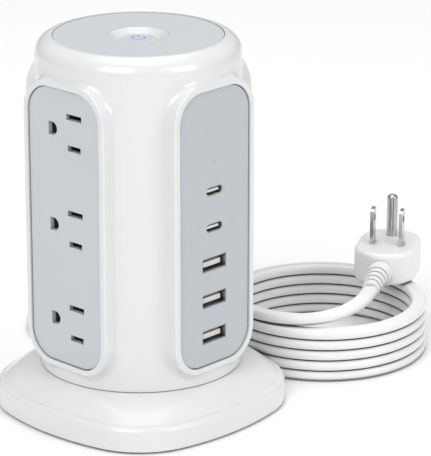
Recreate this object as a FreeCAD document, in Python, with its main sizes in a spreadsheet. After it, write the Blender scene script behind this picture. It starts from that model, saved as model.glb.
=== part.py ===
import FreeCAD, Part
import math
import os
import re
import Sketcher
from FreeCAD import Placement, Rotation, Vector

# A tower power strip: a rounded-square base, a round housing with a framed panel on each of its
# four faces, a push switch under the top, and a mains lead wound in a neat coil beside it.
# Millimetres, +Z up, origin on the floor under the middle of the base.
# The front face looks along -Y and the USB face along +X.

SIZES = {
    # Base
    "base_width": 107.0,
    "base_corner": 32.0,
    "base_side_radius": 110.0,
    "base_edge_top": 11.0,
    "base_edge_round": 2.5,
    "base_height": 19.0,
    "base_wall": 2.8,
    "base_roof": 2.8,
    "dish_rise": 3.9,
    "dish_share": 0.6,
    "dish_corner": 34.0,
    "deck_thickness": 3.0,
    "deck_hole_radius": 12.0,
    "room_margin": 2.3,
    "upstand_height": 4.0,
    "upstand_wall": 1.9,
    "seam_chamfer": 0.4,
    "foot_height": 1.0,
    "foot_radius": 6.0,
    "foot_inset": 20.5,
    "cover_thickness": 2.0,
    "cover_gap": 0.15,
    "cover_boss_inset": 9.0,
    "cover_boss_radius": 3.6,
    "cover_screw_radius": 1.25,
    "cover_screw_length": 6.8,
    "screw_head_radius": 2.6,
    "screw_head_height": 1.0,
    "screw_sink": 0.2,
    "screw_gap": 0.25,
    "weight_width": 60.0,
    "weight_corner": 6.0,
    "weight_thickness": 4.5,
    # Housing
    "body_radius": 41.3,
    "body_height": 136.5,
    "shell_wall": 3.1,
    "crown_round": 7.0,
    "frame_proud": 0.9,
    "frame_width": 45.0,
    "frame_height": 119.3,
    "frame_corner": 14.0,
    "frame_rise": 65.05,
    "frame_blend": 3.5,
    "frame_edge_round": 0.8,
    # Panels
    "panel_proud": 0.1,
    "panel_width": 39.6,
    "panel_height": 113.9,
    "panel_corner": 11.5,
    "panel_thickness": 2.0,
    "panel_edge_round": 0.4,
    "panel_gap": 0.15,
    "ledge_width": 2.5,
    # Outlets
    "outlet_pitch": 39.5,
    "outlet_lift": 0.65,
    "slot_line": 5.6,
    "slot_spacing": 12.7,
    "slot_thickness": 2.4,
    "neutral_slot_length": 8.4,
    "line_slot_length": 7.2,
    "ground_offset": 11.9,
    "ground_width": 5.4,
    "ground_depth": 4.8,
    "block_gap": 0.5,
    "block_front": 2.0,
    "block_rail": 2.2,
    "block_recess": 2.0,
    "chamber_margin": 0.8,
    "strip_thickness": 0.8,
    "strip_width": 2.4,
    "leaf_thickness": 0.4,
    "leaf_length": 6.5,
    "leaf_narrower": 0.6,
    "neutral_bar": 12.3,
    "line_bar": -0.6,
    "ground_bar": -10.4,
    # USB face
    "usb_pitch": 15.1,
    "usb_lift": 15.55,
    "usb_a_width": 13.3,
    "usb_a_height": 5.5,
    "usb_c_width": 9.0,
    "usb_c_height": 3.3,
    "usb_shell_wall": 0.3,
    "usb_setback": 0.2,
    "usb_gap": 0.1,
    "usb_a_corner": 0.4,
    "usb_plug_back": 2.5,
    "usb_a_tongue_setback": 1.8,
    "usb_a_tongue_width": 11.0,
    "usb_a_tongue_thickness": 2.0,
    "usb_a_tongue_drop": 0.5,
    "usb_c_tongue_setback": 0.8,
    "usb_c_tongue_width": 6.7,
    "usb_c_tongue_thickness": 1.0,
    "usb_board_width": 30.0,
    "usb_board_height": 88.0,
    "usb_board_drop": 10.05,
    "board_thickness": 1.6,
    "led_lift": 11.9,
    "led_radius": 0.85,
    # Column and what it holds
    "outlet_depth": 14.0,
    "column_corner": 8.0,
    "column_wall": 2.0,
    "column_headroom": 17.5,
    "column_boss_inset": 6.9,
    "column_boss_radius": 3.4,
    "column_boss_height": 12.0,
    "column_rib_thickness": 1.6,
    "column_screw_radius": 1.4,
    "column_screw_length": 13.0,
    "column_head_radius": 2.9,
    "column_head_height": 2.2,
    "surge_board_rise": 16.0,
    "surge_board_height": 80.0,
    "varistor_radius": 6.0,
    "varistor_thickness": 4.0,
    "varistor_pitch": 14.0,
    "wire_radius": 0.9,
    # Top cover and switch
    "cap_margin": 0.1,
    "cap_thickness": 2.5,
    "cap_recess": 0.2,
    "cap_gap": 0.1,
    "cap_ledge": 2.8,
    "cap_edge_round": 0.3,
    "bezel_radius": 12.1,
    "bezel_flange": 1.6,
    "bezel_sleeve_radius": 10.4,
    "bezel_rim": 0.7,
    "bezel_gap": 0.1,
    "dish_foot_radius": 8.2,
    "button_radius": 7.15,
    "button_depth": 1.4,
    "button_proud": 1.0,
    "button_thickness": 4.0,
    "button_edge_round": 0.8,
    "button_stem_radius": 2.2,
    "button_stem_length": 5.9,
    "running_gap": 0.05,
    "switch_width": 20.0,
    "switch_height": 18.2,
    "terminal_width": 4.8,
    "terminal_thickness": 0.8,
    "terminal_length": 6.0,
    "switch_drop": 3.7,
    "stem_pocket": 4.2,
    "symbol_radius": 2.85,
    "symbol_line": 0.5,
    "symbol_depth": 0.6,
    "symbol_bar": 2.4,
    "spring_radius": 3.6,
    "spring_wire": 0.5,
    "spring_turns": 3.5,
    # Cord, its coil and its plug
    "cord_width": 6.6,
    "cord_thickness": 4.6,
    "cord_exit_height": 5.5,
    "cord_exit_offset": 18.0,
    "relief_length": 18.43,
    "relief_throat": 3.6,
    "relief_root": 4.3,
    "relief_tip": 3.6,
    "relief_collar": 5.0,
    "relief_collar_width": 1.5,
    "relief_gap": 0.05,
    "relief_flange_width": 8.0,
    "relief_flange_height": 4.6,
    "relief_flange_thickness": 2.0,
    "rib_gap": 1.0,
    "rib_core": 3.0,
    "rib_start": 3.0,
    "rib_margin": 2.5,
    "coil_radius": 41.2,
    "coil_turns": 5.0,
    "coil_x": 13.1,
    "coil_y": 97.8,
    "plug_relief_length": 18.0,
    "plug_relief_root": 5.0,
    "plug_neck": 5.0,
    "plug_neck_root": 5.5,
    "plug_length": 38.0,
    "plug_width": 27.0,
    "plug_thickness": 14.0,
    "plug_corner": 13.0,
    "plug_axis_rise": 6.0,
    "plug_face_round": 2.0,
    "plug_back_round": 1.2,
    "plug_back_margin": 2.4,
    "plug_back_depth": 0.8,
    "blade_width": 6.35,
    "blade_thickness": 1.5,
    "blade_length": 15.9,
    "blade_root": 5.0,
    "blade_setback": 2.4,
    "blade_hole_radius": 1.6,
    "blade_hole_reach": 11.7,
    "blade_tip_round": 1.2,
    "pin_radius": 2.38,
    "pin_length": 18.7,
    "pin_tip_round": 1.6,
}

# Places and sizes that follow from others; a formula may use these names too
DERIVED = {
    "base_room_radius": "body_radius - room_margin",
    "foot_spread": "base_width / 2 - foot_inset",
    "cover_boss_spread": "base_width / 2 - cover_boss_inset",
    "frame_distance": "body_radius + frame_proud",
    "frame_middle": "base_height + frame_rise",
    "panel_distance": "body_radius + panel_proud",
    "outlet_middle": "frame_middle + outlet_lift",
    "usb_top": "frame_middle + usb_lift",
    "led_height": "usb_top + led_lift",
    "usb_board_middle": "frame_middle - usb_board_drop",
    "column_half": "panel_distance - outlet_depth",
    "column_boss_spread": "column_half - column_boss_inset",
    "column_top": "base_height + body_height - column_headroom",
    "surge_board_bottom": "base_height + surge_board_rise",
    "cap_radius": "body_radius - crown_round - cap_margin",
    "relief_seat": "base_width / 2 - base_side_radius"
                   " + sqrt(base_side_radius ^ 2 - (cord_exit_offset + relief_collar) ^ 2)",
}

# Which way each face looks, as a turn about +Z from the front face
OUTLET_FACES = {"front": 0, "left": -90, "back": 180}
USB_FACE_TURN = 90

# The lead lies from the strain relief to the foot of the coil, then from its top to the plug.
LEAD_ROUTE = [
    (-69.5, 18.0, 5.5),
    (-75.3, 18.0, 5.5),
    (-83.8, 19.9, 5.0),
    (-93.6, 25.9, 3.9),
    (-101.6, 38.0, 2.7),
    (-102.6, 54.5, 2.3),
    (-94.9, 69.1, 2.3),
    (-81.5, 78.8, 2.3),
    (-65.9, 80.9, 2.3),
    (-50.3, 79.8, 2.3),
    (-35.0, 75.2, 2.3),
    (-20.6, 68.1, 2.3),
]
TAIL_ROUTE = [
    (-10.5, 64.1, 23.5),
    (-0.9, 59.1, 25.1),
    (10.9, 56.8, 25.3),
    (22.7, 58.7, 25.3),
    (32.8, 65.2, 25.3),
    (39.3, 75.3, 26.2),
    (41.2, 86.1, 27.8),
    (39.4, 95.4, 29.0),
    (34.9, 103.2, 29.0),
]

doc = FreeCAD.newDocument("TowerPowerStrip")
sheet = doc.addObject("Spreadsheet::Sheet", "Sizes")
workings = doc.addObject("Spreadsheet::Sheet", "Workings")
NODES = {}


# ---------------------------------------------------------------------------------------------
# Sheet, formulas and small helpers
# ---------------------------------------------------------------------------------------------

def fill_sheet():
    """Write each driving size to the sheet: its name, its value and its alias."""
    for row, (name, value) in enumerate(SIZES.items(), start=1):
        sheet.set(f"A{row}", name)
        sheet.set(f"B{row}", str(value))
        sheet.setAlias(f"B{row}", name)
    doc.recompute()


def size(name):
    """The value of one size: read back from the sheet, or worked out if it follows from others."""
    return value_of(name) if name in DERIVED else float(sheet.get(name))


def formula(text):
    """Point every size's name in a formula at its cell in the sheet."""
    def point(word):
        name = word.group()
        if name in DERIVED:
            return f"({formula(DERIVED[name])})"
        return "Sizes." + name if name in SIZES else name
    return re.sub(r"[a-z][a-z_0-9]*", point, str(text))


def value_of(text):
    """Work a formula out on the second sheet, with the present sizes."""
    workings.set("A1", "=" + formula(text))
    doc.recompute([workings])
    return float(workings.get("A1"))


def bind(item, **formulas):
    """Bind properties to formulas; a double underscore stands for a dot."""
    for path, text in formulas.items():
        item.setExpression(path.replace("__", "."), formula(text))


def keep(node, item):
    """Record an object as one of the sub-parts, under its own label."""
    item.Label = node
    NODES[node] = item
    return item


def place(item, x="0", y="0", z="0"):
    bind(item, Placement__Base__x=x, Placement__Base__y=y, Placement__Base__z=z)


# ---------------------------------------------------------------------------------------------
# Primitives, booleans and rounded edges
# ---------------------------------------------------------------------------------------------

def box(name, length, width, height, x, y, z):
    item = doc.addObject("Part::Box", name)
    bind(item, Length=length, Width=width, Height=height)
    place(item, x, y, z)
    return item


def middle_box(name, length, width, height, x, y, z):
    """A box centred on x and y that stands on z."""
    return box(name, length, width, height, f"{x} - ({length}) / 2", f"{y} - ({width}) / 2", z)


def face_box(name, turn, near, far, across, width, middle, height):
    """A box in front of one face: near and far from the tower's axis, across the face and up it.

    turn is the face's turn from the front face, which looks along -Y.
    """
    cosine = round(math.cos(math.radians(turn)))
    sine = round(math.sin(math.radians(turn)))
    item = doc.addObject("Part::Box", name)
    item.Placement = Placement(Vector(), Rotation(Vector(0, 0, 1), turn))
    bind(item, Length=width, Width=f"({far}) - ({near})", Height=height)
    left = f"(({across}) - ({width}) / 2)"
    back = f"(-({far}))"
    place(item,
          f"{left} * {cosine} - {back} * {sine}",
          f"{left} * {sine} + {back} * {cosine}",
          f"({middle}) - ({height}) / 2")
    return item


def cylinder(name, radius, height, x="0", y="0", z="0", axis=None):
    """A cylinder that starts at x, y, z and runs along axis, or up."""
    item = doc.addObject("Part::Cylinder", name)
    if axis is not None:
        item.Placement = Placement(Vector(), Rotation(Vector(0, 0, 1), axis))
    bind(item, Radius=radius, Height=height)
    place(item, x, y, z)
    return item


def cone(name, foot_radius, top_radius, height, x="0", y="0", z="0", axis=None):
    item = doc.addObject("Part::Cone", name)
    if axis is not None:
        item.Placement = Placement(Vector(), Rotation(Vector(0, 0, 1), axis))
    bind(item, Radius1=foot_radius, Radius2=top_radius, Height=height)
    place(item, x, y, z)
    return item


def fuse(name, items):
    item = doc.addObject("Part::MultiFuse", name)
    item.Shapes = items
    item.Refine = True
    return item


def cut(name, base, tools):
    """Cut one tool, or several joined together, from a base."""
    item = doc.addObject("Part::Cut", name)
    item.Base = base
    item.Tool = tools[0] if len(tools) == 1 else fuse(name + "_tools", tools)
    return item


def group(name, items):
    """Several separate solids in one object."""
    item = doc.addObject("Part::Compound", name)
    item.Links = items
    return item


def edge_middle(edge):
    return edge.valueAt((edge.FirstParameter + edge.LastParameter) / 2)


def round_edges(name, base, radius, wanted):
    """Round the edges of a base for which wanted(edge, middle) is true."""
    doc.recompute()
    item = doc.addObject("Part::Fillet", name)
    item.Base = base
    item.Edges = [(number, radius, radius) for number, edge in enumerate(base.Shape.Edges, start=1)
                  if wanted(edge, edge_middle(edge))]
    return item


def runs_along(direction):
    """Pick straight edges that run along a direction."""
    def wanted(edge, middle):
        straight = edge.Curve.TypeId == "Part::GeomLine"
        return straight and abs(edge.tangentAt(edge.FirstParameter).dot(direction)) > 0.99
    return wanted


def at_height(height):
    """Pick edges that lie flat at one height."""
    def wanted(edge, middle):
        bounds = edge.BoundBox
        return abs(bounds.ZMin - height) < 0.001 and abs(bounds.ZMax - height) < 0.001
    return wanted


def upright_block(name, width, corner, bottom, height):
    """A rounded-square block on the tower's axis."""
    block = middle_box(name + "_box", width, width, height, "0", "0", bottom)
    return round_edges(name, block, corner, runs_along(Vector(0, 0, 1)))


def four_corners(spread):
    """The four corners of a square, as pairs of formulas."""
    return [(f"{x} * {spread}", f"{y} * {spread}") for x in (-1, 1) for y in (-1, 1)]


def four_sides(spread):
    """The middles of a square's four sides, as pairs of formulas."""
    return [(f"{x} * {spread}", f"{y} * {spread}") for x, y in ((1, 0), (0, 1), (-1, 0), (0, -1))]


def screws(name, places, bottom, head_radius, head_height, shank_radius, shank_length):
    """A group of pan-head screws that point up."""
    items = []
    for number, (x, y) in enumerate(places, start=1):
        head = cylinder(f"{name}_head_{number}", head_radius, head_height, x, y, bottom)
        shank = cylinder(f"{name}_shank_{number}", shank_radius, shank_length, x, y,
                         f"{bottom} + {head_height}")
        items.append(fuse(f"{name}_{number}", [head, shank]))
    return group(name, items)


# ---------------------------------------------------------------------------------------------
# Bodies made from sketches
# ---------------------------------------------------------------------------------------------

def new_body(node, turn=0):
    body = doc.addObject("PartDesign::Body", node)
    body.Placement = Placement(Vector(), Rotation(Vector(0, 0, 1), turn))
    return keep(node, body)


def new_sketch(body, name, role, offset="0"):
    """A sketch on one of the body's own origin planes, moved along the plane's normal."""
    sketch = body.newObject("Sketcher::SketchObject", name)
    plane = next(item for item in body.Origin.OriginFeatures if item.Role == role)
    sketch.AttachmentSupport = [(plane, "")]
    sketch.MapMode = "FlatFace"
    bind(sketch, AttachmentOffset__Base__z=offset)
    return sketch


def bound_constraint(sketch, kind, *parts):
    """Add a constraint whose last part is a formula."""
    number = sketch.addConstraint(Sketcher.Constraint(kind, *parts[:-1], value_of(parts[-1])))
    sketch.setExpression(f"Constraints[{number}]", formula(parts[-1]))


def add_centre(sketch, x, y):
    """A construction point at x, y; returns its number."""
    centre = sketch.addGeometry(Part.Point(Vector(value_of(x), value_of(y), 0)), True)
    bound_constraint(sketch, "DistanceX", -1, 1, centre, 1, x)
    bound_constraint(sketch, "DistanceY", -1, 1, centre, 1, y)
    return centre


def add_rectangle(sketch, x, y, width, height):
    """A sharp rectangle centred on x, y."""
    cx, cy = value_of(x), value_of(y)
    dx, dy = value_of(width) / 2, value_of(height) / 2
    corners = [Vector(cx - dx, cy - dy, 0), Vector(cx + dx, cy - dy, 0),
               Vector(cx + dx, cy + dy, 0), Vector(cx - dx, cy + dy, 0)]
    first = sketch.GeometryCount
    for number in range(4):
        sketch.addGeometry(Part.LineSegment(corners[number], corners[(number + 1) % 4]), False)
    for number in range(4):
        following = first + (number + 1) % 4
        sketch.addConstraint(Sketcher.Constraint("Coincident", first + number, 2, following, 1))
        kind = "Vertical" if number % 2 else "Horizontal"
        sketch.addConstraint(Sketcher.Constraint(kind, first + number))
    bound_constraint(sketch, "DistanceX", first, 1, first, 2, width)
    bound_constraint(sketch, "DistanceY", first + 1, 1, first + 1, 2, height)
    centre = add_centre(sketch, x, y)
    sketch.addConstraint(Sketcher.Constraint("Symmetric", first, 1, first + 1, 2, centre, 1))


def add_rounded_rectangle(sketch, x, y, width, height, corner):
    """A rectangle with round corners, centred on x, y."""
    cx, cy = value_of(x), value_of(y)
    dx, dy, radius = value_of(width) / 2, value_of(height) / 2, value_of(corner)
    inner = [Vector(cx + sx * (dx - radius), cy + sy * (dy - radius), 0)
             for sx, sy in ((-1, -1), (1, -1), (1, 1), (-1, 1))]
    outward = [Vector(0, -1, 0), Vector(1, 0, 0), Vector(0, 1, 0), Vector(-1, 0, 0)]
    first = sketch.GeometryCount
    for number in range(4):
        start = inner[number] + outward[number] * radius
        finish = inner[(number + 1) % 4] + outward[number] * radius
        sketch.addGeometry(Part.LineSegment(start, finish), False)
        circle = Part.Circle(inner[(number + 1) % 4], Vector(0, 0, 1), radius)
        turn = math.radians(90 * number - 90)
        sketch.addGeometry(Part.ArcOfCircle(circle, turn, turn + math.pi / 2), False)
    for number in range(4):
        side, arc = first + 2 * number, first + 2 * number + 1
        following = first + (2 * number + 2) % 8
        sketch.addConstraint(Sketcher.Constraint("Tangent", side, 2, arc, 1))
        sketch.addConstraint(Sketcher.Constraint("Tangent", arc, 2, following, 1))
        kind = "Vertical" if number % 2 else "Horizontal"
        sketch.addConstraint(Sketcher.Constraint(kind, side))
        if number:
            sketch.addConstraint(Sketcher.Constraint("Equal", first + 1, arc))
    bound_constraint(sketch, "Radius", first + 1, corner)
    bound_constraint(sketch, "DistanceX", first + 6, 1, first + 2, 1, width)
    bound_constraint(sketch, "DistanceY", first, 1, first + 4, 1, height)
    centre = add_centre(sketch, x, y)
    sketch.addConstraint(Sketcher.Constraint("Symmetric", first + 1, 3, first + 5, 3, centre, 1))


def add_bowed_square(sketch, half, corner, side):
    """A square round the sketch's middle with gently bowed sides and round corners."""
    half_value, corner_value, side_value = value_of(half), value_of(corner), value_of(side)
    middle, swing = bowed_corner(half_value, corner_value, side_value)
    first = sketch.GeometryCount
    for number in range(4):
        turn = Rotation(Vector(0, 0, 1), 90 * number)
        start = math.radians(90 * number)
        side_centre = turn.multVec(Vector(half_value - side_value, 0, 0))
        side_circle = Part.Circle(side_centre, Vector(0, 0, 1), side_value)
        sketch.addGeometry(Part.ArcOfCircle(side_circle, start - swing, start + swing), False)
        corner_centre = turn.multVec(Vector(middle, middle, 0))
        corner_circle = Part.Circle(corner_centre, Vector(0, 0, 1), corner_value)
        sketch.addGeometry(Part.ArcOfCircle(corner_circle, start + swing, start + math.pi / 2 - swing),
                           False)
    for number in range(8):
        following = first + (number + 1) % 8
        sketch.addConstraint(Sketcher.Constraint("Tangent", first + number, 2, following, 1))
    for number in range(1, 4):
        sketch.addConstraint(Sketcher.Constraint("Equal", first, first + 2 * number))
        sketch.addConstraint(Sketcher.Constraint("Equal", first + 1, first + 2 * number + 1))
    bound_constraint(sketch, "Radius", first, side)
    bound_constraint(sketch, "Radius", first + 1, corner)
    reach = f"(({half}) - ({side}))"
    for number, (x, y) in enumerate(((1, 0), (0, 1), (-1, 0), (0, -1))):
        bound_constraint(sketch, "DistanceX", -1, 1, first + 2 * number, 3, f"{x} * {reach}")
        bound_constraint(sketch, "DistanceY", -1, 1, first + 2 * number, 3, f"{y} * {reach}")


def add_ground_hole(sketch, x, y, depth, width):
    """A D-shaped hole: flat on the left, a half circle on the right, centred on x, y."""
    cx, cy = value_of(x), value_of(y)
    radius, long = value_of(width) / 2, value_of(depth)
    left, middle = cx - long / 2, cx + long / 2 - radius
    first = sketch.GeometryCount
    sketch.addGeometry(Part.LineSegment(Vector(left, cy - radius, 0), Vector(middle, cy - radius, 0)), False)
    circle = Part.Circle(Vector(middle, cy, 0), Vector(0, 0, 1), radius)
    sketch.addGeometry(Part.ArcOfCircle(circle, -math.pi / 2, math.pi / 2), False)
    sketch.addGeometry(Part.LineSegment(Vector(middle, cy + radius, 0), Vector(left, cy + radius, 0)), False)
    sketch.addGeometry(Part.LineSegment(Vector(left, cy + radius, 0), Vector(left, cy - radius, 0)), False)
    sketch.addConstraint(Sketcher.Constraint("Tangent", first, 2, first + 1, 1))
    sketch.addConstraint(Sketcher.Constraint("Tangent", first + 1, 2, first + 2, 1))
    sketch.addConstraint(Sketcher.Constraint("Coincident", first + 2, 2, first + 3, 1))
    sketch.addConstraint(Sketcher.Constraint("Coincident", first + 3, 2, first, 1))
    sketch.addConstraint(Sketcher.Constraint("Horizontal", first))
    sketch.addConstraint(Sketcher.Constraint("Vertical", first + 3))
    bound_constraint(sketch, "Radius", first + 1, f"({width}) / 2")
    bound_constraint(sketch, "DistanceX", first, 1, first, 2, f"({depth}) - ({width}) / 2")
    bound_constraint(sketch, "DistanceX", -1, 1, first + 3, 1, f"({x}) - ({depth}) / 2")
    bound_constraint(sketch, "DistanceY", -1, 1, first + 1, 3, y)


def add_circle(sketch, x, y, radius):
    number = sketch.addGeometry(Part.Circle(Vector(value_of(x), value_of(y), 0), Vector(0, 0, 1),
                                            value_of(radius)), False)
    bound_constraint(sketch, "Radius", number, radius)
    bound_constraint(sketch, "DistanceX", -1, 1, number, 3, x)
    bound_constraint(sketch, "DistanceY", -1, 1, number, 3, y)


def pad(body, sketch, name, length):
    item = body.newObject("PartDesign::Pad", name)
    item.Profile = sketch
    bind(item, Length=length)
    doc.recompute()
    return item


def pocket(body, sketch, name, length):
    """Cut both ways from the sketch's plane, and make sure that it removes something."""
    before = body.Shape.Volume
    item = body.newObject("PartDesign::Pocket", name)
    item.Profile = sketch
    item.Midplane = True
    bind(item, Length=length)
    doc.recompute()
    if body.Shape.Volume > before - 0.01:
        raise RuntimeError(f"{name} cuts nothing")
    return item


def round_front(body, feature, name, radius):
    """Round the outer edges of a panel's front."""
    front = min(vertex.Point.y for vertex in feature.Shape.Vertexes)
    item = body.newObject("PartDesign::Fillet", name)
    item.Base = (feature, [f"Edge{number}" for number, edge in enumerate(feature.Shape.Edges, start=1)
                           if abs(edge.BoundBox.YMax - front) < 0.001])
    bind(item, Radius=radius)
    doc.recompute()
    return item


# ---------------------------------------------------------------------------------------------
# Base
# ---------------------------------------------------------------------------------------------

def bowed_corner(half, corner, side):
    """Where a bowed square's corner arcs are centred, on the diagonal, and how far its sides turn.

    The sides are arcs of radius side, half away from the middle, and the corners run into them.
    """
    reach = side - half
    centre = (math.sqrt(2 * (side - corner) ** 2 - reach ** 2) - reach) / 2
    return centre, math.atan2(centre, centre + reach)


def bowed_square(half, corner, side, height):
    """A closed wire: a square with gently bowed sides and round corners, at a height."""
    centre, swing = bowed_corner(half, corner, side)
    edges = []
    for number in range(4):
        turn = Rotation(Vector(0, 0, 1), 90 * number)

        def on_side(angle):
            across = half - side + side * math.cos(angle)
            return turn.multVec(Vector(across, side * math.sin(angle), height))

        def on_corner(angle):
            return turn.multVec(Vector(centre + corner * math.cos(angle),
                                       centre + corner * math.sin(angle), height))

        edges.append(Part.Arc(on_side(-swing), on_side(0), on_side(swing)).toShape())
        edges.append(Part.Arc(on_side(swing), on_corner(math.pi / 4),
                              on_corner(math.pi / 2 - swing)).toShape())
    return Part.Wire(edges)


def base_block(name, inset, bottom, height):
    """A block with the base's outline, smaller all round by inset."""
    outline = doc.addObject("Part::Feature", name + "_outline")
    outline.Shape = bowed_square(size("base_width") / 2 - inset, size("base_corner") - inset,
                                 size("base_side_radius") - inset, value_of(bottom))
    block = doc.addObject("Part::Extrusion", name)
    block.Base = outline
    block.DirMode = "Custom"
    block.Dir = Vector(0, 0, 1)
    block.Solid = True
    bind(block, LengthFwd=height)
    return block


def dished_top():
    """The slope from the base's upright edge to the round neck under the housing."""
    edge = size("base_edge_top")
    inset = size("base_edge_round")
    edge_half = size("base_width") / 2 - inset
    neck = size("body_radius")
    middle_half = neck + (edge_half - neck) * size("dish_share")
    nearly_round = 0.05
    sections = [
        bowed_square(edge_half, size("base_corner") - inset, size("base_side_radius") - inset, edge),
        bowed_square(middle_half, size("dish_corner"), size("base_side_radius"),
                     edge + size("dish_rise")),
        bowed_square(neck, neck - nearly_round, neck + 1, size("base_height")),
    ]
    item = doc.addObject("Part::Feature", "dished_top")
    item.Shape = Part.makeLoft(sections, True, False)
    return item


def base_shell():
    """The upper moulding of the base: edge, slope, deck, upstand and screw bosses."""
    block = base_block("base_edge_block", 0, "foot_height", "base_edge_top - foot_height")
    rim = round_edges("base_edge", block, size("base_edge_round"), at_height(size("base_edge_top")))
    outer = fuse("base_outer", [rim, dished_top()])
    roof = "(base_edge_top - base_roof)"
    lower_room = base_block("base_lower_room", size("base_wall"), "foot_height", f"{roof} - foot_height")
    upper_room = cylinder("base_upper_room", "base_room_radius",
                          f"base_height - deck_thickness - {roof}", z=roof)
    through_deck = "base_height - 1.5 * deck_thickness"
    deck_hole = cylinder("deck_hole", "deck_hole_radius", "2 * deck_thickness", z=through_deck)
    hollow = cut("base_hollow", outer, [lower_room, upper_room, deck_hole])
    upstand_radius = "body_radius - shell_wall - cap_gap"
    upstand = cut("upstand",
                  cylinder("upstand_outer", upstand_radius, "upstand_height", z="base_height"),
                  [cylinder("upstand_inner", f"{upstand_radius} - upstand_wall",
                            "upstand_height", z="base_height")])
    boss_foot = "foot_height + cover_thickness"
    bosses = [cylinder(f"cover_boss_{number}", "cover_boss_radius", f"{roof} - ({boss_foot}) + 1",
                       x, y, boss_foot)
              for number, (x, y) in enumerate(four_sides("cover_boss_spread"), start=1)]
    body = fuse("base_with_bosses", [hollow, upstand] + bosses)
    holes = [cylinder(f"cover_hole_{number}", "cover_screw_radius + running_gap",
                      "cover_screw_length", x, y, boss_foot)
             for number, (x, y) in enumerate(four_sides("cover_boss_spread"), start=1)]
    holes += [cylinder(f"deck_screw_hole_{number}", "column_screw_radius + screw_gap",
                       "2 * deck_thickness", x, y, through_deck)
              for number, (x, y) in enumerate(four_corners("column_boss_spread"), start=1)]
    holes.append(cylinder("cord_hole", "relief_throat + relief_gap", "3 * base_wall",
                          "-relief_seat - base_wall", "cord_exit_offset", "cord_exit_height",
                          Vector(1, 0, 0)))
    holes.append(cylinder("cord_spot_face", "relief_collar + relief_gap", "base_wall",
                          "-relief_seat - base_wall", "cord_exit_offset", "cord_exit_height",
                          Vector(1, 0, 0)))
    keep("base_shell", cut("base_shell", body, holes))


def base_bottom_cover():
    """The plate that closes the base: a notch for the strain relief, four counterbored screw holes."""
    body = new_body("base_bottom_cover")
    outline = new_sketch(body, "cover_outline", "XY_Plane", "foot_height")
    inset = "(base_wall + cover_gap)"
    add_bowed_square(outline, f"base_width / 2 - {inset}", f"base_corner - {inset}",
                     f"base_side_radius - {inset}")
    pad(body, outline, "cover_plate", "cover_thickness")
    notch = new_sketch(body, "cord_notch_sketch", "XY_Plane", "foot_height")
    add_rectangle(notch, "-base_width / 2", "cord_exit_offset",
                  "2 * (base_width / 2 - relief_seat + base_wall + cover_gap)",
                  "2 * (relief_throat + cover_gap)")
    pocket(body, notch, "cord_notch", "4 * cover_thickness")
    for name, radius, depth in (("cover_screw_hole", "cover_screw_radius + screw_gap", "6 * cover_thickness"),
                                ("cover_counterbore", "screw_head_radius + screw_gap",
                                 "2 * (screw_head_height + screw_sink)")):
        spot = new_sketch(body, name + "_sketch", "XY_Plane", "foot_height")
        add_circle(spot, "cover_boss_spread", "0", radius)
        hole = pocket(body, spot, name, depth)
        ring = body.newObject("PartDesign::PolarPattern", name + "_ring")
        ring.Originals = [hole]
        ring.Axis = (spot, ["N_Axis"])
        ring.Angle = 360
        ring.Occurrences = 4
        body.Tip = ring
        doc.recompute()


def base_fittings():
    """Rubber feet, cover screws and the steel weight inside the base."""
    feet = [cylinder(f"rubber_foot_{number}", "foot_radius", "foot_height", x, y, "0")
            for number, (x, y) in enumerate(four_corners("foot_spread"), start=1)]
    keep("rubber_feet", group("rubber_feet", feet))
    keep("base_screws", screws("base_screws", four_sides("cover_boss_spread"),
                               "foot_height + screw_sink", "screw_head_radius", "screw_head_height",
                               "cover_screw_radius", "cover_screw_length"))
    keep("base_weight", upright_block("base_weight", "weight_width", size("weight_corner"),
                                      "foot_height + cover_thickness", "weight_thickness"))


# ---------------------------------------------------------------------------------------------
# Housing
# ---------------------------------------------------------------------------------------------

def tower_block(name, direction, width, height, corner, half_length):
    """A block through the tower with its four long edges rounded, so that both ends are frames."""
    along_x = direction.x != 0
    length, depth = (f"2 * ({half_length})", width) if along_x else (width, f"2 * ({half_length})")
    block = middle_box(name + "_box", length, depth, height, "0", "0", f"frame_middle - ({height}) / 2")
    return round_edges(name, block, corner, runs_along(direction))


def housing_outside():
    """The round core with its big shoulder, and the raised frame of each face blended into it."""
    core = doc.addObject("Part::Cylinder", "housing_core")
    core.Placement = Placement(Vector(), Rotation(Vector(0, 0, 1), 45))
    bind(core, Radius="body_radius", Height="body_height")
    place(core, z="base_height")
    top = size("base_height") + size("body_height")
    crown = round_edges("housing_crown", core, size("crown_round"), at_height(top))
    frames = [tower_block(f"housing_frames_{name}", direction, "frame_width", "frame_height",
                          size("frame_corner"), "frame_distance")
              for name, direction in (("x", Vector(1, 0, 0)), ("y", Vector(0, 1, 0)))]
    rough = fuse("housing_rough", [crown] + frames)
    radius = size("body_radius")
    plane = size("frame_distance")
    low = size("frame_middle") - size("frame_height") / 2
    high = size("frame_middle") + size("frame_height") / 2

    def meets_core(edge, middle):
        on_core = abs(math.hypot(middle.x, middle.y) - radius) < 0.001
        seam = edge.Curve.TypeId == "Part::GeomLine" and abs(abs(middle.x) - abs(middle.y)) < 0.01
        return on_core and not seam and low - 0.01 <= middle.z <= high + 0.01

    def frame_edge(edge, middle):
        return abs(max(abs(middle.x), abs(middle.y)) - plane) < 0.001

    rounded = round_edges("housing_rounded", rough, size("frame_edge_round"), frame_edge)
    blended = round_edges("housing_blended", rounded, size("frame_blend"), meets_core)
    doc.recompute()
    foot = doc.addObject("Part::Chamfer", "housing_outside")
    foot.Base = blended
    chamfer = size("seam_chamfer")
    foot.Edges = [(number, chamfer, chamfer)
                  for number, edge in enumerate(blended.Shape.Edges, start=1)
                  if at_height(size("base_height"))(edge, None)]
    return foot


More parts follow.
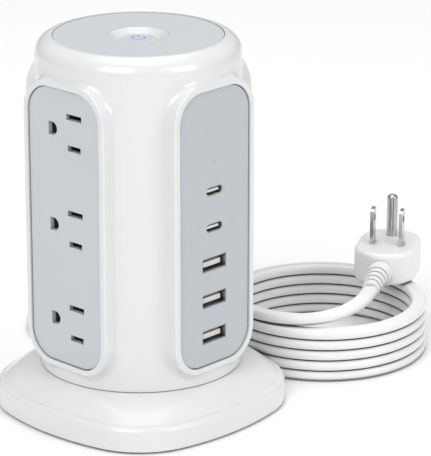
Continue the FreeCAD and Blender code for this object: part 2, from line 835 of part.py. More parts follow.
def body_shell():
    """The tower's one-piece housing: open below, a recess for the cap, a window in each face."""
    inside_radius = "body_radius - shell_wall"
    cap_seat = "base_height + body_height - cap_recess - cap_thickness"
    tools = [
        cylinder("housing_inside", inside_radius, f"{cap_seat} - cap_thickness - base_height",
                 z="base_height"),
        cylinder("cap_opening", "cap_radius - cap_ledge", "crown_round + cap_thickness",
                 z=f"{cap_seat} - 2 * cap_thickness"),
        cylinder("cap_recess_tool", "cap_radius + cap_gap", "crown_round", z=cap_seat),
    ]
    for turn in (0, 90, 180, 270):
        outlook = Rotation(Vector(0, 0, 1), turn).multVec(Vector(0, 1, 0))
        seat = face_box(f"panel_seat_box_{turn}", turn, "panel_distance - panel_thickness",
                        "frame_distance + 3", "0", "panel_width + 2 * panel_gap", "frame_middle",
                        "panel_height + 2 * panel_gap")
        tools.append(round_edges(f"panel_seat_{turn}", seat, size("panel_corner") + size("panel_gap"),
                                 runs_along(outlook)))
        window = face_box(f"panel_window_box_{turn}", turn, "column_half", "frame_distance",
                          "0", "panel_width - 2 * ledge_width", "frame_middle",
                          "panel_height - 2 * ledge_width")
        tools.append(round_edges(f"panel_window_{turn}", window,
                                 size("panel_corner") - size("ledge_width"), runs_along(outlook)))
    keep("body_shell", cut("body_shell", housing_outside(), tools))


def support_column():
    """The square tube that stands on the deck and carries the outlet blocks and the boards."""
    height = "column_top - base_height"
    outer = upright_block("column_outer", "2 * column_half", size("column_corner"), "base_height", height)
    inner = upright_block("column_inner", "2 * (column_half - column_wall)",
                          size("column_corner") - size("column_wall"), "base_height", height)
    tube = cut("column_tube", outer, [inner])
    places = four_corners("column_boss_spread")
    bosses = [cylinder(f"column_boss_{number}", "column_boss_radius", "column_boss_height", x, y,
                       "base_height")
              for number, (x, y) in enumerate(places, start=1)]
    ribs = [middle_box(f"column_rib_{x}_{y}", "2 * (column_half - column_wall - column_boss_spread)",
                       "column_rib_thickness", "column_boss_height", f"{x} * column_boss_spread",
                       f"{y} * column_boss_spread", "base_height")
            for x in (-1, 1) for y in (-1, 1)]
    solid = fuse("column_solid", [tube] + bosses + ribs)
    holes = [cylinder(f"column_hole_{number}", "column_screw_radius + running_gap",
                      "column_boss_height + 1", x, y, "base_height")
             for number, (x, y) in enumerate(places, start=1)]
    keep("support_column", cut("support_column", solid, holes))
    keep("column_screws", screws("column_screws", places,
                                 "base_height - deck_thickness - column_head_height",
                                 "column_head_radius", "column_head_height",
                                 "column_screw_radius", "column_screw_length"))


# ---------------------------------------------------------------------------------------------
# Outlet faces
# ---------------------------------------------------------------------------------------------

SLOT_Z = "outlet_middle - outlet_pitch"
GROUND_X = "slot_line - ground_offset"


def face_panel(node, turn):
    """A plain face panel: a rounded plate with softened front edges. Returns its body."""
    body = new_body(node, turn)
    outline = new_sketch(body, node + "_outline", "XZ_Plane", "panel_distance - panel_thickness")
    add_rounded_rectangle(outline, "0", "frame_middle", "panel_width", "panel_height", "panel_corner")
    plate = pad(body, outline, node + "_plate", "panel_thickness")
    round_front(body, plate, node + "_soft_edge", "panel_edge_round")
    return body


def outlet_panel(name, turn):
    """A panel with three outlets, each turned on its side with its ground hole on the left."""
    node = f"outlet_panel_{name}"
    body = face_panel(node, turn)
    holes = new_sketch(body, node + "_holes", "XZ_Plane", "panel_distance - panel_thickness")
    add_rectangle(holes, "slot_line", f"{SLOT_Z} + slot_spacing / 2", "neutral_slot_length", "slot_thickness")
    add_rectangle(holes, "slot_line", f"{SLOT_Z} - slot_spacing / 2", "line_slot_length", "slot_thickness")
    add_ground_hole(holes, GROUND_X, SLOT_Z, "ground_depth", "ground_width")
    outlet = pocket(body, holes, node + "_outlet", "6 * panel_thickness")
    row = body.newObject("PartDesign::LinearPattern", node + "_outlets")
    row.Originals = [outlet]
    row.Direction = (holes, ["V_Axis"])
    bind(row, Length="2 * outlet_pitch")
    row.Occurrences = 3
    body.Tip = row
    doc.recompute()


def outlet_heights():
    return [f"(outlet_middle + {step} * outlet_pitch)" for step in (-1, 0, 1)]


def outlet_block(name, turn):
    """The insulating block behind a panel, with a chamber for each contact."""
    node = f"outlet_block_{name}"
    front = "panel_distance - panel_thickness"
    outlook = Rotation(Vector(0, 0, 1), turn).multVec(Vector(0, 1, 0))
    width = "panel_width - 2 * ledge_width - 2 * block_gap"
    height = "panel_height - 2 * ledge_width - 2 * block_gap"
    square = face_box(node + "_square", turn, "column_half", front, "0", width, "frame_middle", height)
    whole = round_edges(node + "_whole", square,
                        size("panel_corner") - size("ledge_width") - size("block_gap"),
                        runs_along(outlook))
    tools = [face_box(node + "_recess", turn, "column_half", "column_half + block_recess", "0",
                      f"{width} - 2 * block_rail", "frame_middle", height)]
    chamber = "2 * chamber_margin"
    for number, middle in enumerate(outlet_heights(), start=1):
        for label, across, rise, wide, tall in (
                ("neutral", "slot_line", "slot_spacing / 2", "neutral_slot_length", "slot_thickness"),
                ("line", "slot_line", "-slot_spacing / 2", "line_slot_length", "slot_thickness"),
                ("ground", GROUND_X, "0", "ground_depth", "ground_width")):
            place_up = f"{middle} + {rise}"
            tools.append(face_box(f"{node}_{label}_slot_{number}", turn, "column_half", front, across,
                                  wide, place_up, tall))
            tools.append(face_box(f"{node}_{label}_chamber_{number}", turn, "column_half",
                                  f"{front} - block_front", across, f"{wide} + {chamber}", place_up,
                                  f"{tall} + {chamber}"))
    keep(node, cut(node, whole, tools))


def contact_strip(label, name, turn, bar, across, rise, wide, tall):
    """One brass strip: an upright bar and, at each outlet, an arm with two spring leaves."""
    node = f"{label}_strip_{name}"
    back = "column_half + block_recess - strip_thickness"
    front = "column_half + block_recess"
    pieces = [face_box(node + "_bar", turn, back, front, bar, "strip_width", "outlet_middle",
                       "2 * outlet_pitch + slot_spacing + 2 * strip_width")]
    for number, middle in enumerate(outlet_heights(), start=1):
        height = f"{middle} + {rise}"
        sign = "+" if value_of(bar) < value_of(across) else "-"
        reach = f"({across} {sign} {wide} / 2)"
        arm_width = f"abs({bar} - {reach})"
        pieces.append(face_box(f"{node}_arm_{number}", turn, back, front, f"(({bar}) + {reach}) / 2",
                               arm_width, height, f"{tall} + 2 * leaf_thickness"))
        for side in (-1, 1):
            pieces.append(face_box(f"{node}_leaf_{number}_{side + 1}", turn, back, f"{front} + leaf_length",
                                   across, f"{wide} - leaf_narrower",
                                   f"{height} + {side} * ({tall} + leaf_thickness) / 2",
                                   "leaf_thickness"))
    keep(node, fuse(node, pieces))


def outlet_faces():
    for name, turn in OUTLET_FACES.items():
        outlet_panel(name, turn)
        outlet_block(name, turn)
        contact_strip("neutral", name, turn, "neutral_bar", "slot_line", "slot_spacing / 2",
                      "neutral_slot_length", "slot_thickness")
        contact_strip("line", name, turn, "line_bar", "slot_line", "-slot_spacing / 2",
                      "line_slot_length", "slot_thickness")
        contact_strip("ground", name, turn, "ground_bar", f"({GROUND_X})", "0", "ground_depth",
                      "ground_width")


# ---------------------------------------------------------------------------------------------
# USB face
# ---------------------------------------------------------------------------------------------

# A round end stops this short of a half circle, so that a short flat is left between its arcs
NEARLY_FULL = 0.02


def usb_heights():
    """Each socket's kind and height, from the top of the face down."""
    kinds = ["c", "c", "a", "a", "a"]
    return [(kind, f"(usb_top - {step} * usb_pitch)") for step, kind in enumerate(kinds)]


def usb_panel():
    """The panel with two small and three large USB openings and a hole for the light."""
    body = face_panel("usb_panel", USB_FACE_TURN)
    holes = new_sketch(body, "usb_panel_holes", "XZ_Plane", "panel_distance - panel_thickness")
    for kind, height in usb_heights():
        width = f"usb_{kind}_width + 2 * usb_gap"
        tall = f"usb_{kind}_height + 2 * usb_gap"
        if kind == "c":
            add_rounded_rectangle(holes, "0", height, width, tall, f"({tall}) / 2 - {NEARLY_FULL}")
        else:
            add_rectangle(holes, "0", height, width, tall)
    add_circle(holes, "0", "led_height", "led_radius + running_gap")
    pocket(body, holes, "usb_panel_openings", "6 * panel_thickness")


def usb_profile(name, kind, inset, near, far, middle):
    """A block with a socket's outline, smaller all round by inset."""
    width = f"usb_{kind}_width - 2 * ({inset})"
    height = f"usb_{kind}_height - 2 * ({inset})"
    block = face_box(name + "_box", USB_FACE_TURN, near, far, "0", width, middle, height)
    corner = value_of(height) / 2 - NEARLY_FULL if kind == "c" else size("usb_a_corner")
    return round_edges(name, block, corner, runs_along(Vector(1, 0, 0)))


def usb_socket(number, kind, middle):
    """A folded steel shell and, inside it, the insulator with its tongue."""
    back = "column_half + board_thickness"
    mouth = "panel_distance - usb_setback"
    shell_node = f"usb_{kind}_shell_{number}"
    outer = usb_profile(shell_node + "_outer", kind, "0", back, mouth, middle)
    inner = usb_profile(shell_node + "_inner", kind, "usb_shell_wall", back, mouth, middle)
    keep(shell_node, cut(shell_node, outer, [inner]))
    node = f"usb_{kind}_insulator_{number}"
    plug = usb_profile(node + "_back", kind, "usb_shell_wall", back, f"{back} + usb_plug_back", middle)
    drop = "usb_a_tongue_drop" if kind == "a" else "0"
    tongue = face_box(node + "_tongue", USB_FACE_TURN, f"{back} + usb_plug_back / 2",
                      f"{mouth} - usb_{kind}_tongue_setback", "0", f"usb_{kind}_tongue_width",
                      f"{middle} - {drop}", f"usb_{kind}_tongue_thickness")
    keep(node, fuse(node, [plug, tongue]))


def usb_face():
    usb_panel()
    counts = {"a": 0, "c": 0}
    for kind, height in usb_heights():
        counts[kind] += 1
        usb_socket(counts[kind], kind, height)
    back = "column_half + board_thickness"
    keep("usb_board", face_box("usb_board", USB_FACE_TURN, "column_half", back, "0",
                               "usb_board_width", "usb_board_middle", "usb_board_height"))
    keep("indicator_light", cylinder("indicator_light", "led_radius", f"panel_distance - ({back})",
                                     back, "0", "led_height", Vector(1, 0, 0)))


# ---------------------------------------------------------------------------------------------
# Inside the column
# ---------------------------------------------------------------------------------------------

def surge_parts():
    """The surge board across the middle of the column, and the three varistors on it."""
    keep("surge_board", middle_box("surge_board", "board_thickness", "2 * (column_half - column_wall)",
                                   "surge_board_height", "0", "0", "surge_board_bottom"))
    discs = [cylinder(f"varistor_{step}", "varistor_radius", "varistor_thickness",
                      "board_thickness / 2", f"{step} * varistor_pitch",
                      "surge_board_bottom + surge_board_height / 2", Vector(1, 0, 0))
             for step in (-1, 0, 1)]
    keep("varistors", group("varistors", discs))


# ---------------------------------------------------------------------------------------------
# Top cover and switch
# ---------------------------------------------------------------------------------------------

CAP_TOP = "base_height + body_height - cap_recess"
BUTTON_TOP = f"({CAP_TOP} - button_depth)"
SWITCH_TOP = f"({BUTTON_TOP} - button_thickness - switch_drop)"


def top_cover():
    """The grey disc that closes the crown, with a stepped hole for the bezel."""
    disc = cylinder("cap_disc", "cap_radius", "cap_thickness", z=f"{CAP_TOP} - cap_thickness")
    soft = round_edges("cap_soft", disc, size("cap_edge_round"),
                       at_height(value_of(CAP_TOP)))
    bore = cylinder("cap_bore", "bezel_sleeve_radius + bezel_gap", "2 * cap_thickness",
                    z=f"{CAP_TOP} - 1.5 * cap_thickness")
    step = cylinder("cap_step", "bezel_radius + bezel_gap", "cap_thickness",
                    z=f"{CAP_TOP} - bezel_flange")
    keep("top_cover", cut("top_cover", soft, [bore, step]))


def switch_bezel():
    """The dished ring round the button; its sleeve guides the button down to the switch."""
    flange = cylinder("bezel_flange_disc", "bezel_radius", "bezel_flange", z=f"{CAP_TOP} - bezel_flange")
    sleeve = cylinder("bezel_sleeve", "bezel_sleeve_radius", f"{CAP_TOP} - bezel_flange - {SWITCH_TOP}",
                      z=SWITCH_TOP)
    solid = fuse("bezel_solid", [flange, sleeve])
    bore = cylinder("bezel_bore", "button_radius + running_gap", "3 * button_thickness",
                    z=f"{SWITCH_TOP} - 1")
    dish = cone("bezel_dish", "dish_foot_radius", "bezel_radius - bezel_rim",
                "button_depth + button_proud", z=f"{BUTTON_TOP} - button_proud")
    keep("switch_bezel", cut("switch_bezel", solid, [bore, dish]))


def symbol_solids(name):
    """The power mark as solids: an open ring and a short bar, sunk in the button's top."""
    bottom = f"{BUTTON_TOP} - symbol_depth"
    turn = Placement(Vector(), Rotation(Vector(0, 0, 1), 45))
    ring = cut(name + "_ring",
               cylinder(name + "_ring_outer", "symbol_radius", "symbol_depth", z=bottom),
               [cylinder(name + "_ring_inner", "symbol_radius - symbol_line", "symbol_depth", z=bottom),
                middle_box(name + "_gap", "5 * symbol_line", "2 * symbol_radius", "symbol_depth", "0",
                           "symbol_radius", bottom)])
    bar = middle_box(name + "_bar", "symbol_line", "symbol_bar", "symbol_depth", "0",
                     "symbol_radius - symbol_bar / 2 + symbol_line", bottom)
    mark = group(name, [ring, bar])
    mark.Placement = turn
    return mark


def power_button():
    """The round push button, its stem and the lit mark in its top."""
    cap = cylinder("button_cap", "button_radius", "button_thickness", z=f"{BUTTON_TOP} - button_thickness")
    soft = round_edges("button_soft", cap, size("button_edge_round"), at_height(value_of(BUTTON_TOP)))
    stem = cylinder("button_stem", "button_stem_radius", "button_stem_length",
                    z=f"{BUTTON_TOP} - button_thickness - button_stem_length")
    solid = fuse("button_solid", [soft, stem])
    keep("power_button", cut("power_button", solid, [symbol_solids("button_mark_pocket")]))
    keep("button_symbol", symbol_solids("button_symbol"))


def switch_body():
    """The push switch under the button: its case, two terminals and the hole for the stem."""
    case = middle_box("switch_case", "switch_width", "switch_width", "switch_height", "0", "0",
                      f"{SWITCH_TOP} - switch_height")
    terminals = [middle_box(f"switch_terminal_{side + 1}", "terminal_thickness", "terminal_width",
                            "terminal_length + 1", f"{side} * switch_width / 4", "0",
                            f"{SWITCH_TOP} - switch_height - terminal_length")
                 for side in (-1, 1)]
    solid = fuse("switch_solid", [case] + terminals)
    hole = cylinder("stem_hole", "button_stem_radius + running_gap", "stem_pocket + 1",
                    z=f"{SWITCH_TOP} - stem_pocket")
    keep("switch_body", cut("switch_body", solid, [hole]))


def button_spring():
    """A coil spring round the stem, from the switch's case to the underside of the button."""
    wire = size("spring_wire") / 2
    foot = value_of(SWITCH_TOP) + wire
    height = size("switch_drop") - 2 * wire
    radius = size("spring_radius")
    helix = Part.makeHelix(height / size("spring_turns"), height, radius)
    helix.translate(Vector(0, 0, foot))
    section = Part.Wire(Part.makeCircle(wire, Vector(radius, 0, foot), Vector(0, 1, 0)))
    item = doc.addObject("Part::Feature", "button_spring")
    item.Shape = Part.Wire(helix.Edges).makePipeShell([section], True, True)
    keep("button_spring", item)


# ---------------------------------------------------------------------------------------------
# Cord, wires and plug
# ---------------------------------------------------------------------------------------------

def route_tube(name, route, radius):
    """A round tube along straight runs joined by the largest tangent arcs that they allow."""
    points = [Vector(*point) for point in route]
    edges = []
    radii = []
    start = points[0]
    for before, corner, after in zip(points, points[1:], points[2:]):
        back = (before - corner).normalize()
        ahead = (after - corner).normalize()
        turn = math.pi - back.getAngle(ahead)
        reach = 0.45 * min((before - corner).Length, (after - corner).Length)
        bend = reach / math.tan(turn / 2)
        radii.append(bend)
        enter = corner + back * reach
        leave = corner + ahead * reach
        inward = (back + ahead).normalize()
        centre_distance = math.hypot(reach, bend)
        top = corner + inward * (centre_distance - bend)
        edges.append(Part.LineSegment(start, enter).toShape())
        edges.append(Part.Arc(enter, top, leave).toShape())
        start = leave
    edges.append(Part.LineSegment(start, points[-1]).toShape())
    path = Part.Wire(edges)
    section = Part.Wire(Part.makeCircle(radius, points[0], points[1] - points[0]))
    item = doc.addObject("Part::Feature", name)
    item.Shape = path.makePipeShell([section], True, False)
    straight = math.pi * radius ** 2 * path.Length
    print(f"{name}: length {path.Length:.1f}, smallest radius {min(radii):.1f}, radii "
          + " ".join(f"{bend:.0f}" for bend in radii)
          + f", volume ratio {item.Shape.Volume / straight:.4f}")
    return item


def inner_wires():
    """Three wires from the strain relief, over the weight and up to the foot of the surge board."""
    exit_x = size("base_wall") + size("relief_flange_thickness") - size("relief_seat")
    exit_y = size("cord_exit_offset")
    exit_z = size("cord_exit_height")
    over_weight = exit_z + 5.5
    board_foot = size("surge_board_bottom")
    for number, colour in enumerate(("line", "neutral", "ground")):
        shift = (number - 1) * 3 * size("wire_radius")
        route = [
            (exit_x, exit_y + shift, exit_z),
            (exit_x + 12.0, exit_y + shift, exit_z),
            (exit_x + 19.5, exit_y - 4.0 + shift, over_weight),
            (exit_x + 32.0, exit_y - 10.0 + shift, over_weight + 1.0),
            (-2.5, exit_y - 15.5 + shift, over_weight + 5.0),
            (0.0, exit_y - 16.0 + shift, board_foot - 8.0),
            (0.0, exit_y - 16.0 + shift, board_foot),
        ]
        keep(f"{colour}_wire", route_tube(f"{colour}_wire", route, size("wire_radius")))


def ribs(name, length, count):
    """Washers that cut the evenly spaced grooves of a ribbed sleeve along +X, rib_margin from its end."""
    tools = []
    for number in range(count):
        along = f"rib_start + ({length} - rib_start - rib_margin) * {number} / {count - 1}"
        outer = cylinder(f"{name}_groove_outer_{number}", "3 * rib_core", "rib_gap", along, "0", "0",
                         Vector(1, 0, 0))
        inner = cylinder(f"{name}_groove_inner_{number}", "rib_core", "rib_gap", along, "0", "0",
                         Vector(1, 0, 0))
        tools.append(cut(f"{name}_groove_{number}", outer, [inner]))
    return tools


def cord_strain_relief():
    """The tapered, ribbed sleeve in the base's left side, made along +X and turned to face -X."""
    length = "relief_length - relief_collar_width"
    taper = cone("relief_taper", "relief_root", "relief_tip", length, "relief_collar_width", "0", "0",
                 Vector(1, 0, 0))
    collar = cylinder("relief_collar_disc", "relief_collar", "relief_collar_width", "0", "0", "0",
                      Vector(1, 0, 0))
    throat = cylinder("relief_throat_disc", "relief_throat", "base_wall", "-base_wall", "0", "0",
                      Vector(1, 0, 0))
    flange = middle_box("relief_flange", "relief_flange_thickness", "relief_flange_width",
                        "relief_flange_height", "-base_wall - relief_flange_thickness / 2", "0",
                        "-relief_flange_height / 2")
    solid = fuse("relief_solid", [taper, collar, throat, flange])
    item = cut("cord_strain_relief", solid, ribs("relief", "relief_length", 5))
    item.Placement = Placement(Vector(), Rotation(Vector(0, 0, 1), 180))
    place(item, "-relief_seat", "cord_exit_offset", "cord_exit_height")
    keep("cord_strain_relief", item)


def cord():
    """The lead, the coil's outer shape and the free end that carries the plug."""
    keep("cord_lead", route_tube("cord_lead", LEAD_ROUTE, size("cord_thickness") / 2))
    keep("cord_tail", route_tube("cord_tail", TAIL_ROUTE, size("cord_thickness") / 2))
    height = "cord_thickness * coil_turns"
    outer = cylinder("coil_outer", "coil_radius + cord_width / 2", height, "coil_x", "coil_y", "0")
    inner = cylinder("coil_inner", "coil_radius - cord_width / 2", height, "coil_x", "coil_y", "0")
    keep("cord_coil", cut("cord_coil", outer, [inner]))


def plug():
    """The flat plug, made along +X from the cord's end with its pins up, then laid on the coil."""
    before, end = Vector(*TAIL_ROUTE[-2]), Vector(*TAIL_ROUTE[-1])
    heading = math.degrees(math.atan2(end.y - before.y, end.x - before.x))
    lie = Placement(end, Rotation(Vector(0, 0, 1), heading))
    body_start = "plug_relief_length + plug_neck"
    body_middle = f"({body_start} + plug_length / 2)"
    face = "(plug_thickness - plug_axis_rise)"

    taper = cone("plug_relief_taper", "relief_tip", "plug_relief_root", "plug_relief_length", "0", "0",
                 "0", Vector(1, 0, 0))
    relief = cut("plug_strain_relief", taper, ribs("plug_relief", "plug_relief_length", 4))

    block = middle_box("plug_block_box", "plug_length", "plug_width", "plug_thickness", body_middle, "0",
                       "-plug_axis_rise")
    oval = round_edges("plug_oval", block, size("plug_corner"), runs_along(Vector(0, 0, 1)))
    face_soft = round_edges("plug_face_soft", oval, size("plug_face_round"),
                            at_height(size("plug_thickness") - size("plug_axis_rise")))
    soft = round_edges("plug_soft", face_soft, size("plug_back_round"), at_height(-size("plug_axis_rise")))
    neck = cone("plug_neck_cone", "plug_relief_root", "plug_neck_root", "1.6 * plug_neck",
                "plug_relief_length", "0", "0", Vector(1, 0, 0))
    solid = fuse("plug_solid", [soft, neck])

    def back_plate(name):
        plate = middle_box(name + "_box", "plug_length - 2 * plug_back_margin",
                           "plug_width - 2 * plug_back_margin", "plug_back_depth", body_middle, "0",
                           "-plug_axis_rise")
        return round_edges(name, plate, size("plug_corner") - size("plug_back_margin"),
                           runs_along(Vector(0, 0, 1)))

    def blade(name, side):
        across = f"{side} * slot_spacing / 2"
        along = f"{body_middle} - blade_setback"
        flat = middle_box(name + "_flat", "blade_width", "blade_thickness", "blade_root + blade_length",
                          along, across, f"{face} - blade_root")
        tip = value_of(f"{face} + blade_length")
        soft_tip = round_edges(name + "_soft", flat, size("blade_tip_round"),
                               lambda edge, middle: abs(middle.z - tip) < 0.001
                               and abs(edge.tangentAt(edge.FirstParameter).y) > 0.99)
        hole = cylinder(name + "_hole", "blade_hole_radius", "4 * blade_thickness", along,
                        f"{across} - 2 * blade_thickness", f"{face} + blade_hole_reach", Vector(0, 1, 0))
        return cut(name, soft_tip, [hole])

    def pin(name):
        shaft = cylinder(name + "_shaft", "pin_radius", "blade_root + pin_length",
                         f"{body_middle} - blade_setback + ground_offset", "0", f"{face} - blade_root")
        return round_edges(name, shaft, size("pin_tip_round"),
                           at_height(value_of(f"{face} + pin_length")))

    sockets = [blade("line_blade_socket", -1), blade("neutral_blade_socket", 1), pin("pin_socket"),
               back_plate("back_pocket")]
    pieces = {
        "plug_strain_relief": relief,
        "plug_body": cut("plug_body", solid, sockets),
        "plug_back": back_plate("plug_back"),
        "plug_line_blade": blade("plug_line_blade", -1),
        "plug_neutral_blade": blade("plug_neutral_blade", 1),
        "plug_ground_pin": pin("plug_ground_pin"),
    }
    for node, item in pieces.items():
        laid = group(node + "_laid", [item])
        laid.Placement = lie
        keep(node, laid)


# ---------------------------------------------------------------------------------------------
# Build, check and write
# ---------------------------------------------------------------------------------------------

def check_document():
    """Stop if any object failed, or if a sub-part's shape is empty or invalid."""
    for item in doc.Objects:
        if "Invalid" in item.State or "Error" in item.State:
            raise RuntimeError(f"{item.Name} failed: {item.State}")
    for node, item in NODES.items():
        shape = item.Shape
        if shape.isNull() or not shape.isValid() or not shape.Solids:
            raise RuntimeError(f"{node} has no valid solid")


def write_steps():
    os.makedirs("parts", exist_ok=True)
    for node, item in NODES.items():
        item.Shape.exportStep(f"parts/{node}.step")
        print(f"{node}: {len(item.Shape.Solids)} solid(s), {item.Shape.Volume:.0f} mm3")


def main():
    fill_sheet()
    base_shell()
    base_bottom_cover()
    base_fittings()
    body_shell()
    support_column()
    outlet_faces()
    usb_face()
    surge_parts()
    top_cover()
    switch_bezel()
    power_button()
    switch_body()
    button_spring()
    inner_wires()
    cord_strain_relief()
    cord()
    plug()
    doc.recompute()
    check_document()
    write_steps()


main()
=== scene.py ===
"""The tower power strip's looks: camera, light, floor, cord and a material for every piece."""

import math

import bpy
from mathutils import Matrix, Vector


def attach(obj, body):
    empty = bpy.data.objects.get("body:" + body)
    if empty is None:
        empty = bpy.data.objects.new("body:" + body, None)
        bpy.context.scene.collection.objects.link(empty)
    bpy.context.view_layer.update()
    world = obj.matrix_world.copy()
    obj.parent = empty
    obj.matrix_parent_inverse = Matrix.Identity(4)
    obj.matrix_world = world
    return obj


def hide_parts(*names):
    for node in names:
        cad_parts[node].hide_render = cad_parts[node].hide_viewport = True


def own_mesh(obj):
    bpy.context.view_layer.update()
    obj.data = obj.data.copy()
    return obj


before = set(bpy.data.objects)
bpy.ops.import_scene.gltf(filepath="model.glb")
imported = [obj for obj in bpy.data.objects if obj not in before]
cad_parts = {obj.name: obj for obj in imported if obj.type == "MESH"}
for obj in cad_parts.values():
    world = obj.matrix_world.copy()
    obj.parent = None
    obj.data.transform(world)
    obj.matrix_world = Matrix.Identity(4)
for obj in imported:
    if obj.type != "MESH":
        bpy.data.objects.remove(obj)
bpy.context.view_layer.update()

# The flat cord's section: three cores under one sheath, with a groove between neighbours
CORD_WIDTH = 0.0066
CORD_THICKNESS = 0.0046
SECTION_POINTS = 40
GROOVE_DEPTH = 0.00035
GROOVE_WIDTH = 0.0003
GROOVE_PLACE = 0.62  # how far out each groove lies, as a share of the outer cores' spacing

# The coil: its turns start at one angle and step up between two others, all in degrees
COIL_MIDDLE = Vector((0.0131, 0.0978))
COIL_RADIUS = 0.0412
COIL_TURNS = 5
POINTS_PER_TURN = 24
COIL_START = 245
RISE_START = 192
RISE_END = 234

# The camera looks along a level heading, tipped down by a pitch in radians
CAMERA_PLACE = (0.7850, -0.7823, 0.4507)
CAMERA_HEADING = (-0.6886, 0.7251)
CAMERA_PITCH = 0.3275
CAMERA_LENS = 228.22
SENSOR_WIDTH = 36

# Studio lamps: where each stands, its size and its power in watts
LAMPS = {
    "key": ((0.45, -1.3, 1.2), (0.9, 0.9), 12),
    "side": ((1.4, 0.2, 0.8), (0.8, 0.8), 6.5),
    "top": ((-0.1, 0.1, 1.7), (1.2, 1.2), 7),
    "back": ((-0.7, 0.8, 1.5), (0.6, 0.6), 4),
}
LAMPS_LOOK_AT = (0, 0, 0.08)
ROOM_DIM = 0.34  # the white room's brightness at the horizon
ROOM_BRIGHT = 0.60  # and overhead
ROOM_FADE = (0.05, 0.7)  # the heights between which it brightens, with 1 straight up
FLOOR_HALF = 6.0
FLOOR_WHITE = (0.93, 0.93, 0.93)

# Shader values between which noise drifts, and between which the painted shade of a crease fades
# into open surface
NOISE_MIDDLE = (0.3, 0.7)
PAINTED_SHADE_FADE = (0.15, 0.75)

# The loose stretches of the cord, from the base to the coil and from the coil to the plug
LEAD_ROUTE = [
    (-0.0695, 0.0180, 0.0055),
    (-0.0753, 0.0180, 0.0055),
    (-0.0838, 0.0199, 0.0050),
    (-0.0936, 0.0259, 0.0039),
    (-0.1016, 0.0380, 0.0027),
    (-0.1026, 0.0545, 0.0023),
    (-0.0949, 0.0691, 0.0023),
    (-0.0815, 0.0788, 0.0023),
    (-0.0659, 0.0809, 0.0023),
    (-0.0503, 0.0798, 0.0023),
    (-0.0350, 0.0752, 0.0023),
    (-0.0206, 0.0681, 0.0023),
]
TAIL_ROUTE = [
    (-0.0009, 0.0591, 0.0253),
    (0.0109, 0.0568, 0.0253),
    (0.0227, 0.0587, 0.0253),
    (0.0328, 0.0652, 0.0253),
    (0.0393, 0.0753, 0.0262),
    (0.0412, 0.0861, 0.0278),
    (0.0394, 0.0954, 0.0290),
    (0.0349, 0.1032, 0.0290),
]


# ---------------------------------------------------------------------------------------------
# Helpers
# ---------------------------------------------------------------------------------------------

def add_object(name, data):
    """A new object in the scene, at the origin."""
    item = bpy.data.objects.new(name, data)
    bpy.context.scene.collection.objects.link(item)
    return item


def map_range(tree, source, from_range, to_range):
    """Carry a shader value from one range over to another, and hold it at the ends."""
    node = tree.nodes.new("ShaderNodeMapRange")
    node.inputs["From Min"].default_value = from_range[0]
    node.inputs["From Max"].default_value = from_range[1]
    node.inputs["To Min"].default_value = to_range[0]
    node.inputs["To Max"].default_value = to_range[1]
    tree.links.new(source, node.inputs["Value"])
    return node.outputs["Result"]


# ---------------------------------------------------------------------------------------------
# Camera, floor and light
# ---------------------------------------------------------------------------------------------

def make_camera():
    """A long lens a little over a metre away, looking down on the corner between two faces."""
    level = math.cos(CAMERA_PITCH)
    forward = Vector((CAMERA_HEADING[0] * level, CAMERA_HEADING[1] * level, -math.sin(CAMERA_PITCH)))
    camera = add_object("camera", bpy.data.cameras.new("camera"))
    camera.location = CAMERA_PLACE
    camera.rotation_euler = forward.to_track_quat("-Z", "Y").to_euler()
    camera.data.lens = CAMERA_LENS
    camera.data.sensor_width = SENSOR_WIDTH
    camera.data.clip_start = 0.05
    camera.data.clip_end = 20
    bpy.context.scene.camera = camera


def area_light(name, place, target, size, power):
    """A soft rectangular lamp that faces its target."""
    light = bpy.data.lights.new(name, "AREA")
    light.shape = "RECTANGLE"
    light.size, light.size_y = size
    light.energy = power
    item = add_object(name, light)
    item.location = place
    item.rotation_euler = (Vector(target) - Vector(place)).to_track_quat("-Z", "Y").to_euler()


def make_light():
    """A white room, brighter overhead than at the sides, and four large soft lamps."""
    bpy.context.scene.view_settings.view_transform = "Standard"
    world = bpy.data.worlds.new("studio")
    bpy.context.scene.world = world
    world.use_nodes = True
    tree = world.node_tree
    background = tree.nodes["Background"]
    direction = tree.nodes.new("ShaderNodeTexCoord").outputs["Generated"]
    split = tree.nodes.new("ShaderNodeSeparateXYZ")
    tree.links.new(direction, split.inputs["Vector"])
    strength = map_range(tree, split.outputs["Z"], ROOM_FADE, (ROOM_DIM, ROOM_BRIGHT))
    tree.links.new(strength, background.inputs["Strength"])
    background.inputs["Color"].default_value = (1, 1, 1, 1)
    for name, (place, size, power) in LAMPS.items():
        area_light(name, place, LAMPS_LOOK_AT, size, power)


def make_floor():
    """A wide sheet of pale matt paper."""
    mesh = bpy.data.meshes.new("floor")
    corners = [(x * FLOOR_HALF, y * FLOOR_HALF, 0) for x, y in ((-1, -1), (1, -1), (1, 1), (-1, 1))]
    mesh.from_pydata(corners, [], [(0, 1, 2, 3)])
    floor = add_object("floor", mesh)
    material = bpy.data.materials.new("floor_paper")
    material.use_nodes = True
    shader = material.node_tree.nodes["Principled BSDF"]
    shader.inputs["Base Color"].default_value = (*FLOOR_WHITE, 1)
    shader.inputs["Roughness"].default_value = 0.9
    mesh.materials.append(material)


# ---------------------------------------------------------------------------------------------
# Materials
# ---------------------------------------------------------------------------------------------

